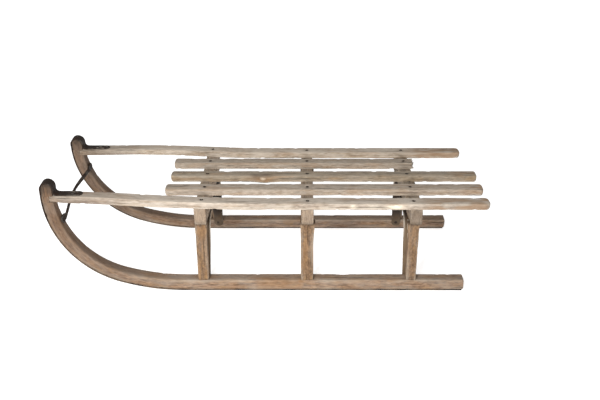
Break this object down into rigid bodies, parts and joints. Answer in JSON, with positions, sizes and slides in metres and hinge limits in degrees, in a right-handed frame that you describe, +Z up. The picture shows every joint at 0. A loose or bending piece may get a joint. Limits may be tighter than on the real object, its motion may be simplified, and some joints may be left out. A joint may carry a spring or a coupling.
{
  "type": "raised slatted sled",
  "caption": "Raised wooden sled with bent iron-shod runners, leaning posts, crossbeams and a seat of long slats, for riding or hauling over snow.",
  "frame": {"origin": "on the ground, below the middle of the overall length and width", "axes": "+X towards the rear of the sled, -X towards the horns, +Y towards the sled's right, +Z up"},
  "size_m": [1.104, 0.3314, 0.3015],
  "materials": {
    "seat_wood": "weathered bare ash, grey",
    "frame_wood": "worn dark oiled ash",
    "beam_wood": "weathered bare ash, brown",
    "dark_iron": "forged wrought iron strap, blackened and lightly rusted",
    "screw_steel": "old steel screws, browned"
  },
  "bodies": {
    "root": {"seat_rail_left": "seat_wood", "seat_rail_right": "seat_wood", "slat_left": "seat_wood", "slat_center": "seat_wood", "slat_right": "seat_wood", "runner_left": "frame_wood", "runner_right": "frame_wood", "post_front_left": "frame_wood", "post_front_right": "frame_wood", "post_middle_left": "frame_wood", "post_middle_right": "frame_wood", "post_rear_left": "frame_wood", "post_rear_right": "frame_wood", "beam_front": "beam_wood", "beam_middle": "beam_wood", "beam_rear": "beam_wood", "runner_iron_left": "dark_iron", "runner_iron_right": "dark_iron", "front_rod": "dark_iron", "brace_front": "dark_iron", "brace_rear": "dark_iron", "slat_screws": "screw_steel", "sole_screws": "screw_steel", "tongue_screws": "screw_steel", "brace_screws": "screw_steel", "rod_screws": "screw_steel"}
  },
  "joints": []
}
